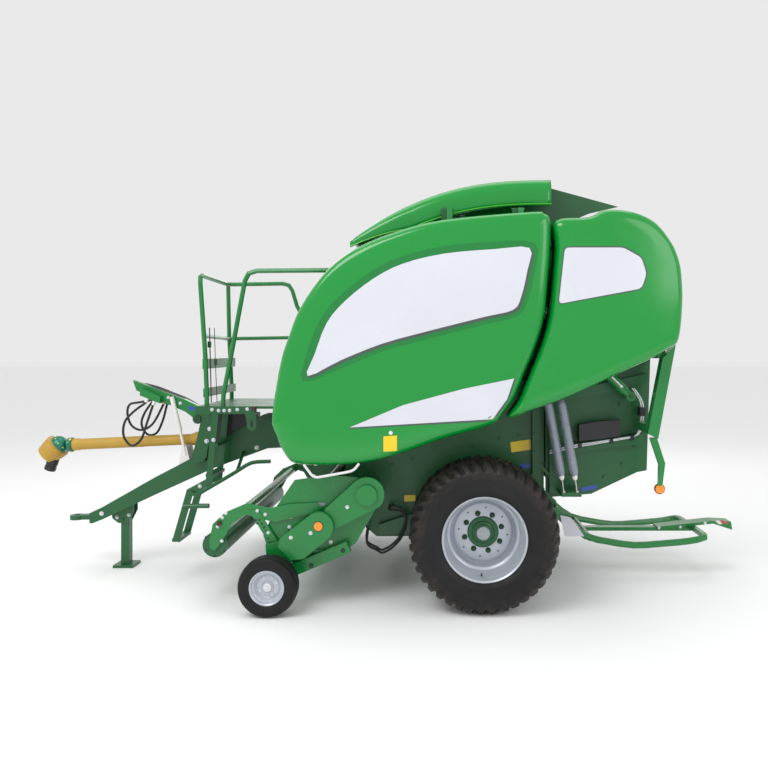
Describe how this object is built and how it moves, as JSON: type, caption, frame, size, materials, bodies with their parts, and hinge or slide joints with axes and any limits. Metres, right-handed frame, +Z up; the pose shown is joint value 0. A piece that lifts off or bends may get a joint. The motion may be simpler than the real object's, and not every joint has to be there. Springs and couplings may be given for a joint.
{
  "type": "round baler",
  "caption": "Towed farm baler that winds crop into round bales: pickup with crop guard, bale chamber, opening tailgate, wide tyres, drawbar with stand, platform and ladder.",
  "frame": {"origin": "on the ground, under the middle of the machine's box", "axes": "+Z up; -X is the travel direction, towards the hitch; -Y is the machine's left side"},
  "size_m": [5.8894, 2.645, 3.126],
  "materials": {
    "panel_green": "gloss paint",
    "frame_green": "satin paint",
    "bright_green": "gloss paint",
    "rim_silver": "silver paint",
    "tyre_rubber": "black rubber",
    "belt_rubber": "ribbed rubber belting",
    "guard_yellow": "moulded plastic",
    "black_plastic": "moulded plastic",
    "cast_black": "black paint on a casting",
    "spring_steel": "zinc-plated steel",
    "bare_steel": "bare steel",
    "black_steel": "black paint",
    "hose_rubber": "hydraulic hose",
    "white_paint": "white paint"
  },
  "bodies": {
    "frame": {"chassis": "frame_green", "axle": "frame_green", "chamber_wall_left": "frame_green", "chamber_wall_right": "frame_green", "net_box": "bright_green", "front_belts": "belt_rubber", "roof_cover": "panel_green", "drawbar": "frame_green", "hitch_ring": "bare_steel", "gearbox": "cast_black", "platform": "frame_green", "handrail_front": "bright_green", "handrail_side": "bright_green", "ladder_upper": "frame_green", "hose_arm": "bright_green", "arm_strut": "white_paint", "hose_left": "hose_rubber", "hose_middle": "hose_rubber", "hose_right": "hose_rubber"},
    "wheel_left": {"tyre_left": "tyre_rubber", "rim_left": "rim_silver"},
    "wheel_right": {"tyre_right": "tyre_rubber", "rim_right": "rim_silver"},
    "feed_rotor": {"feed_rotor": "frame_green"},
    "door_left": {"side_door_left": "panel_green", "door_handle_left": "white_paint"},
    "door_right": {"side_door_right": "panel_green", "door_handle_right": "white_paint"},
    "tailgate": {"tailgate_wall_left": "frame_green", "tailgate_wall_right": "frame_green", "rear_panel_left": "panel_green", "rear_panel_right": "panel_green", "tailgate_post_left": "bright_green", "tailgate_post_right": "bright_green", "belt_springs_left": "spring_steel", "belt_springs_right": "spring_steel", "tailgate_belts": "belt_rubber", "valve_box": "black_plastic"},
    "cylinder_barrel_left": {"cylinder_barrel_left": "black_steel"},
    "cylinder_rod_left": {"cylinder_rod_left": "bare_steel"},
    "cylinder_barrel_right": {"cylinder_barrel_right": "black_steel"},
    "cylinder_rod_right": {"cylinder_rod_right": "bare_steel"},
    "bale_ramp": {"bale_ramp": "bright_green"},
    "pickup": {"pickup_frame": "bright_green", "pickup_bands": "bright_green", "chain_cover_upper": "bright_green", "chain_cover_lower": "bright_green", "gauge_arm_left": "bright_green", "gauge_arm_right": "bright_green"},
    "pickup_reel": {"pickup_reel": "spring_steel"},
    "gauge_wheel_left": {"gauge_wheel_left": "tyre_rubber"},
    "gauge_wheel_right": {"gauge_wheel_right": "tyre_rubber"},
    "windguard": {"windguard_frame": "bright_green"},
    "windguard_roller": {"windguard_roller": "bright_green"},
    "ladder_step": {"ladder_step": "bright_green"},
    "stand": {"stand_leg": "bright_green"},
    "pto_shaft": {"pto_shaft": "guard_yellow"},
    "pto_yoke": {"pto_yoke": "guard_yellow"}
  },
  "joints": [
    {"name": "wheel_left", "type": "hinge", "parent": "frame", "child": "wheel_left", "pos_m": [0.8, -1.03, 0.53], "axis": [0, 1, 0], "continuous": true},
    {"name": "wheel_right", "type": "hinge", "parent": "frame", "child": "wheel_right", "pos_m": [0.8, 1.03, 0.53], "axis": [0, 1, 0], "continuous": true},
    {"name": "feed_rotor", "type": "hinge", "parent": "frame", "child": "feed_rotor", "pos_m": [-0.03, 0, 0.812], "axis": [0, 1, 0], "continuous": true},
    {"name": "door_left", "type": "hinge", "parent": "frame", "child": "door_left", "pos_m": [0.5, -0.945, 2.872], "axis": [-1, 0, 0], "range_deg": [0, 70]},
    {"name": "door_right", "type": "hinge", "parent": "frame", "child": "door_right", "pos_m": [0.5, 0.945, 2.872], "axis": [1, 0, 0], "range_deg": [0, 70]},
    {"name": "tailgate", "type": "hinge", "parent": "frame", "child": "tailgate", "pos_m": [1.262, 0, 2.815], "axis": [0, -1, 0], "range_deg": [0, 60]},
    {"name": "cylinder_swing_left", "type": "hinge", "parent": "tailgate", "child": "cylinder_barrel_left", "pos_m": [1.93, -0.765, 1.49], "axis": [0, 1, 0], "range_deg": [0, 6.89]},
    {"name": "cylinder_slide_left", "type": "slide", "parent": "cylinder_barrel_left", "child": "cylinder_rod_left", "axis": [-0.7144, 0, 0.6998], "range_m": [0, 0.449]},
    {"name": "cylinder_swing_right", "type": "hinge", "parent": "tailgate", "child": "cylinder_barrel_right", "pos_m": [1.93, 0.765, 1.49], "axis": [0, 1, 0], "range_deg": [0, 6.89]},
    {"name": "cylinder_slide_right", "type": "slide", "parent": "cylinder_barrel_right", "child": "cylinder_rod_right", "axis": [-0.7144, 0, 0.6998], "range_m": [0, 0.449]},
    {"name": "bale_ramp", "type": "hinge", "parent": "frame", "child": "bale_ramp", "pos_m": [1.4, 0, 0.56], "axis": [0, 1, 0], "range_deg": [0, 8], "stiffness_Nm_per_rad": 3500, "springref_deg": -8.59},
    {"name": "pickup_lift", "type": "hinge", "parent": "frame", "child": "pickup", "pos_m": [-0.03, 0, 0.812], "axis": [0, 1, 0], "range_deg": [0, 12]},
    {"name": "pickup_reel", "type": "hinge", "parent": "pickup", "child": "pickup_reel", "pos_m": [-0.55, 0, 0.43], "axis": [0, 1, 0], "continuous": true},
    {"name": "gauge_wheel_left", "type": "hinge", "parent": "pickup", "child": "gauge_wheel_left", "pos_m": [-0.7, -1.24, 0.206], "axis": [0, 1, 0], "continuous": true},
    {"name": "gauge_wheel_right", "type": "hinge", "parent": "pickup", "child": "gauge_wheel_right", "pos_m": [-0.7, 1.24, 0.206], "axis": [0, 1, 0], "continuous": true},
    {"name": "windguard", "type": "hinge", "parent": "pickup", "child": "windguard", "pos_m": [-0.4, 0, 0.7], "axis": [0, -1, 0], "range_deg": [-18, 0]},
    {"name": "windguard_roller", "type": "hinge", "parent": "windguard", "child": "windguard_roller", "pos_m": [-1.139, 0, 0.43], "axis": [0, 1, 0], "continuous": true},
    {"name": "ladder_step", "type": "hinge", "parent": "frame", "child": "ladder_step", "pos_m": [-1.491, -0.35, 0.717], "axis": [0, 1, 0], "range_deg": [0, 100]},
    {"name": "stand", "type": "hinge", "parent": "frame", "child": "stand", "pos_m": [-2.205, 0, 0.4], "axis": [0, -1, 0], "range_deg": [0, 90]},
    {"name": "pto_lift", "type": "hinge", "parent": "frame", "child": "pto_shaft", "pos_m": [-1.48, 0, 1.086], "axis": [0, 1, 0], "range_deg": [0, 20]},
    {"name": "pto_joint", "type": "hinge", "parent": "pto_shaft", "child": "pto_yoke", "pos_m": [-2.77, 0, 1.027], "axis": [0, 1, 0], "range_deg": [-10, 60]}
  ],
  "couplings": [
    {"joint": "cylinder_swing_left", "follows": "tailgate", "ratio": 0.11143},
    {"joint": "cylinder_slide_left", "follows": "tailgate", "m_per_rad": 0.42352},
    {"joint": "cylinder_swing_right", "follows": "tailgate", "ratio": 0.11143},
    {"joint": "cylinder_slide_right", "follows": "tailgate", "m_per_rad": 0.42352}
  ]
}
